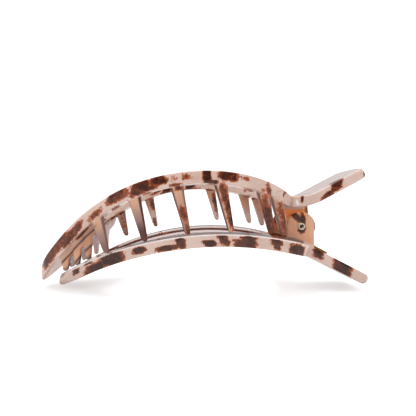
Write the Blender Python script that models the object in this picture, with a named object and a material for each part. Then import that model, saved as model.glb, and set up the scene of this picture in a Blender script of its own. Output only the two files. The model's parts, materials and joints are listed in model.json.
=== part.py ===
"""Flat claw clip: a toothed upper jaw and a plain lower jaw on a hollow rivet, shut by a torsion spring.

Sizes are in millimetres until an object is made. Every piece is drawn about the hinge axis, which is its
origin: X runs from the tip (negative) to the handles (positive), Y along the hinge and Z up. The jaws are
drawn shut. The hinge itself is placed so that the world origin is the middle of the clip's footprint.
"""

import math

import bmesh
import bpy
from mathutils import Matrix, Vector

MM = 0.001

# Plates
PLATE = 4.0
HANDLE_PLATE = 3.6
HANDLE_HALF_WIDTH = 10.2
NECK_HALF_WIDTH = 9.2
FRAME_HALF_WIDTH = 24.0
BAND = 8.4
OPENING_HALF_WIDTH = FRAME_HALF_WIDTH - BAND

# Side profiles of the plates' middle surfaces: a start point and heading, then (x, heading) stretches
UPPER_START = (-95.3, -18.95, 47.0)
UPPER_STRETCHES = ((-79.5, 45.5), (-6.8, -26.0), (-1.2, 0.0), (6.8, 28.0), (24.2, 28.0))
LOWER_START = (-88.9, -21.1, 26.5)
LOWER_STRETCHES = ((-76.0, 26.5), (-3.9, -13.8), (6.0, -27.0), (24.9, -27.0))
TIP_CUT = 8.0

# Plan outlines: where the frames and their openings start, are widest and end, and (power, root) roundings
UPPER_WIDEST = -33.9
UPPER_BACK = -0.6
UPPER_OPENING = (-73.0, -10.4)
LOWER_WIDEST = -31.9
LOWER_BACK = 1.3
LOWER_OPENING = (-73.0, -8.9)
TIP_ROUNDING = (3.0, 0.55)
BACK_ROUNDING = (2.4, 0.6)
END_ROUNDING = (2.5, 0.475)
LEAF_ROUNDING = (2.4, 0.57)
SQUARE_ROUNDING = (12.0, 0.4)
HANDLE_END_ROUNDING = 3.0
NARROWEST = 0.6

# Rim teeth: the x of their tips, and each row's side with the gap it leaves over the lower frame
RIM_TEETH = (-66.8, -54.0, -40.3, -26.5, -12.7, -7.8)
TOOTH_ROWS = ((-1, 0.35), (1, 2.3))
TOOTH_LEAN = 13.0
TOOTH_ROOT = (4.75, 3.45)
TOOTH_TIP = (2.05, 1.85)
TOOTH_INSET = 1.8
TOOTH_SECTIONS = ((0.0, 1.0), (0.45, 1.0), (0.9, 1.0), (0.97, 0.82), (1.0, 0.45))  # share of length, swell

# Claws under the tip plate: the x and y of their tips, and the depth and length of their fins
TIP_TEETH = (
    (-84.4, 0.0, 3.5, 8.0),
    (-83.0, 11.0, 3.5, 8.0),
    (-78.4, 12.6, 4.5, 5.0),
    (-74.4, 13.2, 3.6, 3.4),
)
CLAW_GAP = 0.35
CLAW_POINT = ((-0.75, 0.35), (0.0, 0.0), (0.8, 0.4))  # x and z from the tip
CLAW_FRONT = (-1.6, 3.5)  # x from the tip, and how far below the plate's middle the front edge starts
FIN_FROM = 1.4
FIN_RUNOUT = 1.5  # how much further a fin's foot reaches, inside the plate
FIN_THICKNESS = 2.2

# Hinge
PIN_RADIUS = 1.0
PIN_BORE = 0.62
PIN_HEAD_RADIUS = 1.28
PIN_HEAD = 0.45
HOLE_RADIUS = 1.08
HOLE_REACH = 14.0
EAR_RADIUS = 5.1
EAR_FACES = (7.5, 10.0)
LUG_RADIUS = 4.0
LUG_FACES = (4.7, 7.2)
SIDE_GAP = 0.12
SPRING_GAP = 0.3

# Spring
WIRE_RADIUS = 0.42
COIL_RADIUS = 2.35
COIL_HALF_LENGTH = 3.9
COIL_TURNS = 6
LEG_HEADING = 35.5
FOOT_LENGTH = 4.5

ROUND_SIDES = 24


def on_stretch(a, b, x):
    """(z, heading) at x on the stretch from (x, z, heading) a to (x, heading) b.

    Along an arc the sine of the heading runs evenly with x.
    """
    from_sine, to_sine = math.sin(a[2]), math.sin(b[1])
    share = (x - a[0]) / (b[0] - a[0])
    heading = math.asin(from_sine + (to_sine - from_sine) * share)
    if abs(to_sine - from_sine) < 1e-9:
        return a[1] + (x - a[0]) * math.tan(heading), heading
    radius = (b[0] - a[0]) / (to_sine - from_sine)
    return a[1] + radius * (math.cos(a[2]) - math.cos(heading)), heading


def side_profile(start, stretches):
    """A function from x to (z, heading) along a chain of straight and round stretches."""
    knots = [(start[0], start[1], math.radians(start[2]))]
    ends = [(x, math.radians(heading)) for x, heading in stretches]
    for end in ends:
        z, _ = on_stretch(knots[-1], end, end[0])
        knots.append((end[0], z, end[1]))

    def at(x):
        for knot, end in zip(knots, ends):
            if x <= end[0]:
                break
        return on_stretch(knot, end, x)

    return at


UPPER_PROFILE = side_profile(UPPER_START, UPPER_STRETCHES)
LOWER_PROFILE = side_profile(LOWER_START, LOWER_STRETCHES)


def bulge(x, middle, end, half_width, rounding):
    """Half-width of a rounded outline that is widest at middle and closes at end."""
    share = min(abs((x - middle) / (end - middle)), 1.0)
    return half_width * (1.0 - share ** rounding[0]) ** rounding[1]


def smooth_step(share):
    share = min(max(share, 0.0), 1.0)
    return share * share * (3.0 - 2.0 * share)


def handle_outline(x, end):
    """Half-width of a handle, from the neck at the hinge to its rounded end."""
    if x < -3.0:
        return 0.0
    flare = smooth_step((x - 0.5) / 6.0)
    half_width = NECK_HALF_WIDTH + (HANDLE_HALF_WIDTH - NECK_HALF_WIDTH) * flare
    if x <= end - HANDLE_END_ROUNDING:
        return half_width
    return bulge(x, end - HANDLE_END_ROUNDING, end, half_width, END_ROUNDING)


def upper_outline(x):
    if x < UPPER_WIDEST:
        frame = bulge(x, UPPER_WIDEST, UPPER_START[0] - 0.05, FRAME_HALF_WIDTH, TIP_ROUNDING)
    else:
        frame = bulge(x, UPPER_WIDEST, UPPER_BACK, FRAME_HALF_WIDTH, BACK_ROUNDING)
    return max(frame, handle_outline(x, UPPER_STRETCHES[-1][0]))


def lower_outline(x):
    if x < LOWER_WIDEST:
        frame = bulge(x, LOWER_WIDEST, LOWER_START[0] - 0.05, FRAME_HALF_WIDTH, LEAF_ROUNDING)
    else:
        frame = bulge(x, LOWER_WIDEST, LOWER_BACK, FRAME_HALF_WIDTH, SQUARE_ROUNDING)
    return max(frame, handle_outline(x, LOWER_STRETCHES[-1][0]))


def opening_outline(x, opening):
    """Half-width of the opening in a frame, zero beyond its two ends."""
    if not opening[0] < x < opening[1]:
        return 0.0
    middle = (opening[0] + opening[1]) / 2
    return bulge(x, middle, opening[0], OPENING_HALF_WIDTH, END_ROUNDING)


def eased(first, last, count, ease_first, ease_last):
    """Positions from first to last, closer together at the ends that are eased."""
    for step in range(count):
        share = step / count
        if ease_first and ease_last:
            share = (1.0 - math.cos(math.pi * share)) / 2
        elif ease_first:
            share = 1.0 - math.cos(math.pi * share / 2)
        elif ease_last:
            share = math.sin(math.pi * share / 2)
        yield first + (last - first) * share


def stations(start, opening, back, end):
    """The x positions at which a plate is cut, dense where its outlines turn sharply."""
    places = list(eased(start, opening[0], 9, True, False))
    places += eased(opening[0], opening[1], 30, True, True)
    places += eased(opening[1], back, 6, False, True)
    places += eased(back, end, 13, False, True)
    return places + [end]


def section_direction(heading, upright):
    """The step through a plate's thickness, per millimetre, turned from square to the plate to upright."""
    tilt = heading * (1.0 - upright)
    return Vector((-math.sin(tilt), 0.0, math.cos(tilt))) / math.cos(heading - tilt)


def plate(profile, outline, opening, places, across=2):
    """A closed bmesh of a curved plate with one opening, cut at the places along it.

    Its sections turn upright over the last stretch before the tip, which leaves it with an upright end face.
    """
    bm = bmesh.new()
    rows = []
    for x in places:
        z, heading = profile(x)
        upright = smooth_step(1.0 - (x - places[0]) / TIP_CUT)
        through = section_direction(heading, upright)
        handle_share = smooth_step((x + 2.0) / 8.0)
        through *= (PLATE + (HANDLE_PLATE - PLATE) * handle_share) / 2
        half_width = max(outline(x), NARROWEST)
        half_opening = opening_outline(x, opening)
        sides = []
        for side in (-1, 1):
            row = []
            for step in range(across + 1):
                y = side * (half_opening + (half_width - half_opening) * step / across)
                if step == 0 and side == 1 and half_opening == 0.0:
                    row.append(sides[0][0])
                    continue
                middle = Vector((x, y, z))
                pair = [bm.verts.new(middle + through), bm.verts.new(middle - through)]
                row.append(pair)
            sides.append(row)
        rows.append((half_opening, sides))

    for (opening_a, row_a), (opening_b, row_b) in zip(rows, rows[1:]):
        for a, b in zip(row_a, row_b):
            for step in range(across):
                for level in (0, 1):
                    bm.faces.new((a[step][level], a[step + 1][level], b[step + 1][level], b[step][level]))
            bm.faces.new((a[-1][0], a[-1][1], b[-1][1], b[-1][0]))
            if opening_a or opening_b:
                bm.faces.new((a[0][0], a[0][1], b[0][1], b[0][0]))
    for _, row in (rows[0], rows[-1]):
        for side in row:
            for step in range(across):
                bm.faces.new((side[step][0], side[step + 1][0], side[step + 1][1], side[step][1]))
    bmesh.ops.recalc_face_normals(bm, faces=bm.faces)
    return bm


def prism(bm, outline, y_from, y_to):
    """Adds a closed prism whose side view is the outline of (x, z) points."""
    front = [bm.verts.new((x, y_from, z)) for x, z in outline]
    back = [bm.verts.new((x, y_to, z)) for x, z in outline]
    faces = [bm.faces.new(front), bm.faces.new(back[::-1])]
    for a, b, c, d in zip(front, front[1:] + front[:1], back[1:] + back[:1], back):
        faces.append(bm.faces.new((a, b, c, d)))
    bmesh.ops.recalc_face_normals(bm, faces=faces)


def arc(radius, from_degrees, to_degrees, steps):
    """Points of an arc about the hinge axis, as (x, z)."""
    for step in range(steps + 1):
        angle = math.radians(from_degrees + (to_degrees - from_degrees) * step / steps)
        yield radius * math.cos(angle), radius * math.sin(angle)


def rim_tooth(bm, tip_x, side, gap):
    """Adds one tapered, leaning tooth whose tip stops just over the lower frame."""
    lower_z, lower_heading = LOWER_PROFILE(tip_x)
    tip_z = lower_z + PLATE / 2 / math.cos(lower_heading) + gap
    lean = math.tan(math.radians(TOOTH_LEAN))
    root_x = tip_x - lean * (UPPER_PROFILE(tip_x)[0] - tip_z)
    root_z = UPPER_PROFILE(root_x)[0]
    y = side * (upper_outline(root_x) - TOOTH_INSET)
    rings = []
    for share, swell in TOOTH_SECTIONS:
        centre = Vector((root_x, y, root_z)).lerp(Vector((tip_x, y, tip_z)), share)
        half_x = swell * (TOOTH_ROOT[0] + (TOOTH_TIP[0] - TOOTH_ROOT[0]) * share) / 2
        half_y = swell * (TOOTH_ROOT[1] + (TOOTH_TIP[1] - TOOTH_ROOT[1]) * share) / 2
        ring = []
        for corner in range(8):
            angle = math.tau * (corner + 0.5) / 8
            offset = Vector((half_x * math.cos(angle), half_y * math.sin(angle), 0.0))
            ring.append(bm.verts.new(centre + offset))
        rings.append(ring)
    faces = [bm.faces.new(rings[0]), bm.faces.new(rings[-1][::-1])]
    for upper, lower in zip(rings, rings[1:]):
        for a, b, c, d in zip(upper, upper[1:] + upper[:1], lower[1:] + lower[:1], lower):
            faces.append(bm.faces.new((a, b, c, d)))
    bmesh.ops.recalc_face_normals(bm, faces=faces)


def tip_tooth(bm, tip_x, y, fin_depth, fin_length):
    """Adds one short claw with a fin that runs up the underside of the tip plate behind it."""
    lower_z, lower_heading = LOWER_PROFILE(tip_x)
    tip_z = lower_z + PLATE / 2 / math.cos(lower_heading) + CLAW_GAP
    under = PLATE / 2 / math.cos(math.radians(UPPER_START[2]))
    inside_plate = 0.5

    def below(x_offset, depth):
        return tip_x + x_offset, UPPER_PROFILE(tip_x + x_offset)[0] - depth

    outline = [(tip_x + x, tip_z + z) for x, z in CLAW_POINT]
    outline += [
        below(FIN_FROM, under + fin_depth),
        below(fin_length, under + fin_depth * 0.8),
        below(fin_length + FIN_RUNOUT, 2 * inside_plate),
        below((fin_length + FIN_RUNOUT) / 2, inside_plate),
        below(CLAW_FRONT[0] + 0.4, inside_plate),
        below(*CLAW_FRONT),
    ]
    prism(bm, outline, y - FIN_THICKNESS / 2, y + FIN_THICKNESS / 2)


def rim_teeth():
    bm = bmesh.new()
    for side, gap in TOOTH_ROWS:
        for tip_x in RIM_TEETH:
            rim_tooth(bm, tip_x, side, gap)
    return bm


def tip_teeth():
    bm = bmesh.new()
    for tip_x, y, fin_depth, fin_length in TIP_TEETH:
        for side in (-1, 1) if y else (0,):
            tip_tooth(bm, tip_x, side * y, fin_depth, fin_length)
    return bm


def lugs():
    """The upper jaw's two hinge lugs, which hang from its neck and close round the pin."""
    bm = bmesh.new()
    top = [(x, UPPER_PROFILE(x)[0]) for x in (3.2, 0.0, -2.8, -5.6)]
    outline = list(arc(LUG_RADIUS, 165, 370, 20)) + top
    for side in (-1, 1):
        prism(bm, outline, side * LUG_FACES[0], side * LUG_FACES[1])
    return bm


def ears():
    """The lower jaw's two hinge ears, outside the lugs, which rise from its back bar and handle."""
    bm = bmesh.new()
    foot = [(x, LOWER_PROFILE(x)[0]) for x in (-7.2, -3.0, 1.0, 4.7)]
    outline = list(arc(EAR_RADIUS, -25, 200, 22)) + [(-5.4, -4.2)] + foot
    for side in (-1, 1):
        prism(bm, outline, side * EAR_FACES[0], side * EAR_FACES[1])
    return bm


def hole():
    bm = bmesh.new()
    prism(bm, list(arc(HOLE_RADIUS, 0, 360 - 360 / ROUND_SIDES, ROUND_SIDES - 1)), -HOLE_REACH, HOLE_REACH)
    return bm


def rivet():
    """The hollow pin: a turned tube with a rolled head outside each ear."""
    shank = EAR_FACES[1] + SIDE_GAP
    half_profile = [
        (PIN_BORE, shank + PIN_HEAD * 0.6),
        (PIN_BORE + 0.18, shank + PIN_HEAD),
        (PIN_HEAD_RADIUS - 0.25, shank + PIN_HEAD * 0.9),
        (PIN_HEAD_RADIUS, shank + PIN_HEAD * 0.5),
        (PIN_HEAD_RADIUS, shank),
        (PIN_RADIUS, shank),
    ]
    profile = half_profile + [(radius, -y) for radius, y in reversed(half_profile)]
    bm = bmesh.new()
    rings = []
    for step in range(ROUND_SIDES):
        angle = math.tau * step / ROUND_SIDES
        ring = [bm.verts.new((r * math.cos(angle), y, r * math.sin(angle))) for r, y in profile]
        rings.append(ring)
    for ring, following in zip(rings, rings[1:] + rings[:1]):
        for a, b, c, d in zip(ring, ring[1:] + ring[:1], following[1:] + following[:1], following):
            bm.faces.new((a, b, c, d))
    bmesh.ops.recalc_face_normals(bm, faces=bm.faces)
    return bm


def direction(degrees):
    """Unit vector in the side view at this heading above +X."""
    return Vector((math.cos(math.radians(degrees)), 0.0, math.sin(math.radians(degrees))))


def spring_leg(start, leg, profile):
    """A straight leg from the coil to a handle, and its foot, which lies along the handle's inner face."""
    reach = HANDLE_PLATE / 2 + WIRE_RADIUS + SPRING_GAP
    length = 5.0
    gap = reach + 1.0
    while gap > reach:
        length += 0.05
        knee = start + leg * length
        middle, heading = profile(knee.x)
        gap = abs(knee.z - middle) * math.cos(heading)
    foot = direction(math.degrees(profile(knee.x + FOOT_LENGTH)[1]))
    return [start + leg * length / 2, knee - leg * 0.5, knee + foot * 0.5, knee + foot * FOOT_LENGTH]


def spring_path():
    """Centre line of the wire: a leg on the lower handle, the coil, and a leg under the upper handle."""
    leave = math.radians(90 + LEG_HEADING)
    sweep = math.tau * (COIL_TURNS + 1) - 2 * leave
    steps = round(16 * sweep / math.tau)
    coil = []
    for step in range(steps + 1):
        angle = -leave - sweep * step / steps
        y = -COIL_HALF_LENGTH + 2 * COIL_HALF_LENGTH * step / steps
        coil.append(Vector((COIL_RADIUS * math.cos(angle), y, COIL_RADIUS * math.sin(angle))))
    lower_leg = spring_leg(coil[0], direction(-LEG_HEADING), LOWER_PROFILE)
    upper_leg = spring_leg(coil[-1], direction(LEG_HEADING), UPPER_PROFILE)
    return lower_leg[::-1] + coil + upper_leg


def wire(path, radius, sides=8):
    """A closed round wire along the path."""
    bm = bmesh.new()
    rings = []
    across = Vector((0.0, 1.0, 0.0))
    for index, point in enumerate(path):
        along = (path[min(index + 1, len(path) - 1)] - path[max(index - 1, 0)]).normalized()
        across = (across - along * across.dot(along)).normalized()
        other = along.cross(across)
        ring = []
        for side in range(sides):
            angle = math.tau * side / sides
            ring.append(bm.verts.new(point + (across * math.cos(angle) + other * math.sin(angle)) * radius))
        rings.append(ring)
    bm.faces.new(rings[0])
    bm.faces.new(rings[-1][::-1])
    for ring, following in zip(rings, rings[1:]):
        for a, b, c, d in zip(ring, ring[1:] + ring[:1], following[1:] + following[:1], following):
            bm.faces.new((a, b, c, d))
    bmesh.ops.recalc_face_normals(bm, faces=bm.faces)
    return bm


def material(name, colour, roughness, metallic):
    made = bpy.data.materials.new(name)
    made.use_nodes = True
    shader = made.node_tree.nodes["Principled BSDF"]
    shader.inputs["Base Color"].default_value = (*colour, 1.0)
    shader.inputs["Roughness"].default_value = roughness
    shader.inputs["Metallic"].default_value = metallic
    return made


def add_object(name, bm, hinge, surface=None):
    """An object about the hinge axis; without a surface it is a tool for a Boolean and stays hidden."""
    mesh = bpy.data.meshes.new(name)
    bmesh.ops.transform(bm, matrix=Matrix.Scale(MM, 4), verts=bm.verts)
    bm.to_mesh(mesh)
    bm.free()
    made = bpy.data.objects.new(name, mesh)
    bpy.context.scene.collection.objects.link(made)
    made.parent = hinge
    if surface:
        mesh.materials.append(surface)
    else:
        made.hide_render = True
        made.display_type = "WIRE"
    return made


def combine(target, tool, operation):
    boolean = target.modifiers.new(tool.name, "BOOLEAN")
    boolean.operation = operation
    boolean.solver = "EXACT"
    boolean.use_self = True
    boolean.object = tool


def soften(target):
    """Smooth shading, with the plates' edges kept crisp."""
    target.data.shade_smooth()
    target.data.set_sharp_from_angle(angle=math.radians(35))


def place_hinge(hinge, objects):
    """Moves the hinge so that the world origin is the bottom centre of the objects' box."""
    bpy.context.view_layer.update()
    graph = bpy.context.evaluated_depsgraph_get()
    corners = []
    for item in objects:
        shown = item.evaluated_get(graph)
        corners += [shown.matrix_world @ vertex.co for vertex in shown.data.vertices]
    lengthwise = [corner.x for corner in corners]
    hinge.location = (-(min(lengthwise) + max(lengthwise)) / 2, 0.0, -min(corner.z for corner in corners))
    bpy.context.view_layer.update()


def build():
    for leftover in list(bpy.data.objects):
        bpy.data.objects.remove(leftover)
    hinge = bpy.data.objects.new("hinge_axis", None)
    bpy.context.scene.collection.objects.link(hinge)

    blush = material("blush_tortoise", (0.66, 0.47, 0.39), 0.12, 0.0)
    nickel = material("rivet_metal", (0.62, 0.58, 0.50), 0.25, 1.0)
    brass = material("spring_brass", (0.78, 0.56, 0.25), 0.28, 1.0)

    upper_places = stations(UPPER_START[0], UPPER_OPENING, UPPER_BACK, UPPER_STRETCHES[-1][0])
    upper = plate(UPPER_PROFILE, upper_outline, UPPER_OPENING, upper_places)
    upper_jaw = add_object("upper_jaw", upper, hinge, blush)
    combine(upper_jaw, add_object("upper_rim_teeth", rim_teeth(), hinge), "UNION")
    combine(upper_jaw, add_object("upper_tip_teeth", tip_teeth(), hinge), "UNION")
    combine(upper_jaw, add_object("upper_lugs", lugs(), hinge), "UNION")
    combine(upper_jaw, add_object("upper_hole", hole(), hinge), "DIFFERENCE")

    lower_places = stations(LOWER_START[0], LOWER_OPENING, LOWER_BACK, LOWER_STRETCHES[-1][0])
    lower = plate(LOWER_PROFILE, lower_outline, LOWER_OPENING, lower_places)
    lower_jaw = add_object("lower_jaw", lower, hinge, blush)
    combine(lower_jaw, add_object("lower_ears", ears(), hinge), "UNION")
    combine(lower_jaw, add_object("lower_hole", hole(), hinge), "DIFFERENCE")

    hinge_pin = add_object("hinge_pin", rivet(), hinge, nickel)
    torsion_spring = add_object("torsion_spring", wire(spring_path(), WIRE_RADIUS), hinge, brass)
    pieces = [upper_jaw, lower_jaw, hinge_pin, torsion_spring]
    for piece in pieces:
        soften(piece)
    place_hinge(hinge, pieces)


build()
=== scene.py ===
"""Looks of the flat claw clip: tortoise plastic jaws, a hollow metal rivet and a brass torsion spring.

Shapes are drawn in millimetres about the hinge axis: X from the tip (negative) to the handles
(positive), Y along the hinge and Z up. Each finished mesh is then moved to the hinge's place in the
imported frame.
"""

import json
import math
import random

import bmesh
import bpy
import numpy as np
from mathutils import Matrix, Vector


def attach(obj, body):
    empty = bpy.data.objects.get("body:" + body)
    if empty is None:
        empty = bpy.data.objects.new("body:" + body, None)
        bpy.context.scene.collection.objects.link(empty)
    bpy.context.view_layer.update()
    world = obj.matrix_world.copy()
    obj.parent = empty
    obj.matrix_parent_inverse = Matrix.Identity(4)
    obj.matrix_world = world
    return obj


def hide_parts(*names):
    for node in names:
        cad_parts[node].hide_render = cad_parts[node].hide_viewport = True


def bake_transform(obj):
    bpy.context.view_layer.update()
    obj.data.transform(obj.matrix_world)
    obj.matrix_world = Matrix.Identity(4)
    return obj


MM = 0.001

# Plates
PLATE = 4.0
HANDLE_PLATE = 3.6
HANDLE_HALF_WIDTH = 10.2
NECK_HALF_WIDTH = 9.2
FRAME_HALF_WIDTH = 24.0
BAND = 8.4
OPENING_HALF_WIDTH = FRAME_HALF_WIDTH - BAND
TIP_CUT = 8.0
NARROWEST = 0.6
UPPER_END_RADII = (1.1, 1.3)  # edge roundings at the tip and at the handle's end
LOWER_END_RADII = (1.6, 1.5)
END_RADII_FADES = ((1.4, 7.0), (1.6, 3.5))  # how they fade into the rim's: (head start, length)
RIM_RADIUS = 0.3
NOTCH_FILLET = 0.8
RIM_COLUMNS = (1.0, 0.62, 0.34, 0.15, 0.04, 0.0)  # shares of the rounding, from its inner end to the rim

# Side profiles of the plates' middle surfaces: a start point and heading, then (x, heading) stretches
UPPER_START = (-95.3, -18.95, 47.0)
UPPER_STRETCHES = ((-79.5, 45.5), (-6.8, -26.0), (-1.2, 0.0), (6.8, 28.0), (24.2, 28.0))
LOWER_START = (-88.9, -21.1, 26.5)
LOWER_STRETCHES = ((-76.0, 26.5), (-3.9, -13.8), (6.0, -27.0), (25.3, -27.0))

# Plan outlines: where the frames and their openings start, are widest and end, and their roundings as
# (power, root)
UPPER_WIDEST = -33.9
UPPER_BACK = -0.6
UPPER_OPENING = (-73.0, -10.4)
LOWER_WIDEST = -31.9
LOWER_BACK = 1.3
LOWER_OPENING = (-73.0, -8.9)
TIP_ROUNDING = (3.0, 0.55)
BACK_ROUNDING = (2.4, 0.6)
END_ROUNDING = (2.5, 0.475)
LEAF_ROUNDING = (2.4, 0.57)
SQUARE_ROUNDING = (12.0, 0.4)
HANDLE_END_ROUNDING = 3.0

# Rim teeth: the x of their tips, and each row's side with the gap it leaves over the lower frame
RIM_TEETH = (-66.8, -54.0, -40.3, -26.5, -12.7, -7.8)
TOOTH_ROWS = ((-1, 0.35), (1, 2.3))
TOOTH_LEAN = 13.0
TOOTH_ROOT = (4.6, 3.3)
TOOTH_TIP = (2.0, 1.8)
TOOTH_INSET = 1.8
TOOTH_SECTIONS = (  # share of the length, swell
    (0.0, 1.12),
    (0.12, 1.04),
    (0.25, 1.0),
    (0.6, 1.0),
    (0.9, 1.0),
    (0.95, 0.93),
    (0.98, 0.76),
    (1.0, 0.42),
)
TOOTH_SIDES = 28

# Claws under the tip plate: the x and y of their tips, and the depth and length of their fins
TIP_TEETH = (
    (-84.4, 0.0, 3.5, 8.0),
    (-83.0, 11.0, 3.5, 8.0),
    (-78.4, 12.6, 4.5, 5.0),
    (-74.4, 13.2, 3.6, 3.4),
)
CLAW_GAP = 0.35
CLAW_POINT = ((-0.75, 0.35), (0.0, 0.0), (0.8, 0.4))  # x and z from the tip
CLAW_FRONT = (-1.6, 3.5)  # x from the tip, and how far below the plate's middle the front edge starts
FIN_FROM = 1.4
FIN_RUNOUT = 1.5  # how much further a fin's foot reaches, inside the plate
FIN_THICKNESS = 2.2
INSIDE_PLATE = 0.5

# Hinge and spring
PIN_RADIUS = 1.0
PIN_BORE = 0.66
PIN_HEAD_RADIUS = 1.28
PIN_HEAD = 0.45
PIN_SIDES = 72
HOLE_RADIUS = 1.08
HOLE_REACH = 14.0
HOLE_SIDES = 48
EAR_RADIUS = 5.1
EAR_FACES = (7.5, 10.0)
LUG_RADIUS = 4.0
LUG_FACES = (4.7, 7.2)
SIDE_GAP = 0.12
SPRING_GAP = 0.3
WIRE_RADIUS = 0.42
WIRE_SIDES = 14
COIL_RADIUS = 2.35
COIL_HALF_LENGTH = 3.9
COIL_TURNS = 6
COIL_STEPS = 40  # in each turn
LEG_HEADING = 35.5
FOOT_LENGTH = 4.5

# Fineness of the moulded skins, and the seed of the blotches that are placed at random
VOXEL = 0.27
SMOOTHING = 5
SEED = 11

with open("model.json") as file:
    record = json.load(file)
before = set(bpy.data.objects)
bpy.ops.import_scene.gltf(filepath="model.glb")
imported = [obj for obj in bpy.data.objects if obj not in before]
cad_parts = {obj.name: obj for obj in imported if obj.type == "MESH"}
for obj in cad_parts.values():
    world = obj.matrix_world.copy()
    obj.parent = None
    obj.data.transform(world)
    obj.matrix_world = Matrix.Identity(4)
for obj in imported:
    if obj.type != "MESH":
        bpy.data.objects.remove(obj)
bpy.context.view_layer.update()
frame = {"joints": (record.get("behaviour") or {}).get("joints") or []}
HINGE = Vector(frame["joints"][0]["pos_m"])


# -------- outlines and profiles


def on_stretch(a, b, x):
    """(z, heading) at x on the stretch from (x, z, heading) a to (x, heading) b.

    Along an arc the sine of the heading runs evenly with x.
    """
    from_sine, to_sine = math.sin(a[2]), math.sin(b[1])
    share = (x - a[0]) / (b[0] - a[0])
    heading = math.asin(from_sine + (to_sine - from_sine) * share)
    if abs(to_sine - from_sine) < 1e-9:
        return a[1] + (x - a[0]) * math.tan(heading), heading
    radius = (b[0] - a[0]) / (to_sine - from_sine)
    return a[1] + radius * (math.cos(a[2]) - math.cos(heading)), heading


def side_profile(start, stretches):
    """A function from x to (z, heading) along a chain of straight and round stretches."""
    knots = [(start[0], start[1], math.radians(start[2]))]
    ends = [(x, math.radians(heading)) for x, heading in stretches]
    for end in ends:
        z, _ = on_stretch(knots[-1], end, end[0])
        knots.append((end[0], z, end[1]))

    def at(x):
        for knot, end in zip(knots, ends):
            if x <= end[0]:
                break
        return on_stretch(knot, end, x)

    return at


UPPER_PROFILE = side_profile(UPPER_START, UPPER_STRETCHES)
LOWER_PROFILE = side_profile(LOWER_START, LOWER_STRETCHES)
UPPER_ENDS = (UPPER_START[0], UPPER_STRETCHES[-1][0])
LOWER_ENDS = (LOWER_START[0], LOWER_STRETCHES[-1][0])


def bulge(x, middle, end, half_width, rounding):
    """Half-width of a rounded outline that is widest at middle and closes at end."""
    share = min(abs((x - middle) / (end - middle)), 1.0)
    return half_width * (1.0 - share ** rounding[0]) ** rounding[1]


def smooth_step(share):
    share = min(max(share, 0.0), 1.0)
    return share * share * (3.0 - 2.0 * share)


def handle_outline(x, end):
    if x < -3.0:
        return 0.0
    flare = smooth_step((x - 0.5) / 6.0)
    half_width = NECK_HALF_WIDTH + (HANDLE_HALF_WIDTH - NECK_HALF_WIDTH) * flare
    if x <= end - HANDLE_END_ROUNDING:
        return half_width
    return bulge(x, end - HANDLE_END_ROUNDING, end, half_width, END_ROUNDING)


def blended(a, b):
    """The larger of two half-widths, with a small fillet where they cross."""
    if min(a, b) <= 0.0:
        return max(a, b)
    return (a + b + math.sqrt((a - b) ** 2 + NOTCH_FILLET ** 2)) / 2


def upper_outline(x):
    if x < UPPER_WIDEST:
        rim = bulge(x, UPPER_WIDEST, UPPER_ENDS[0] - 0.05, FRAME_HALF_WIDTH, TIP_ROUNDING)
    else:
        rim = bulge(x, UPPER_WIDEST, UPPER_BACK, FRAME_HALF_WIDTH, BACK_ROUNDING)
    return blended(rim, handle_outline(x, UPPER_ENDS[1]))


def lower_outline(x):
    if x < LOWER_WIDEST:
        rim = bulge(x, LOWER_WIDEST, LOWER_ENDS[0] - 0.05, FRAME_HALF_WIDTH, LEAF_ROUNDING)
    else:
        rim = bulge(x, LOWER_WIDEST, LOWER_BACK, FRAME_HALF_WIDTH, SQUARE_ROUNDING)
    return max(rim, handle_outline(x, LOWER_ENDS[1]))


UPPER_PLATE = (UPPER_PROFILE, upper_outline, *UPPER_ENDS)
LOWER_PLATE = (LOWER_PROFILE, lower_outline, *LOWER_ENDS)


def opening_outline(x, opening):
    """Half-width of the opening in a frame, zero beyond its two ends."""
    if not opening[0] < x < opening[1]:
        return 0.0
    middle = (opening[0] + opening[1]) / 2
    return bulge(x, middle, opening[0], OPENING_HALF_WIDTH, END_ROUNDING)


def eased(first, last, count, ease_first, ease_last):
    """Positions from first to last, closer together at the ends that are eased."""
    for step in range(count):
        share = step / count
        if ease_first and ease_last:
            share = (1.0 - math.cos(math.pi * share)) / 2
        elif ease_first:
            share = 1.0 - math.cos(math.pi * share / 2)
        elif ease_last:
            share = math.sin(math.pi * share / 2)
        yield first + (last - first) * share


def stations(start, opening, back, end):
    """The x positions at which a plate is cut, dense where its outlines turn sharply."""
    places = list(eased(start, opening[0], 44, True, False))
    places += eased(opening[0], opening[1], 150, True, True)
    places += eased(opening[1], back, 26, False, True)
    places += eased(back, end, 60, False, True)
    return places + [end]


# -------- solid shapes


def rounded_off(half, distance, radius):
    """Half thickness at this distance from an edge whose corners have this radius."""
    if distance >= radius:
        return half
    return half - radius + math.sqrt(radius ** 2 - (radius - distance) ** 2)


def half_thickness(x):
    """Half of a plate's thickness, which is less on the handles."""
    return (PLATE + (HANDLE_PLATE - PLATE) * smooth_step((x + 2.0) / 8.0)) / 2


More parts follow.
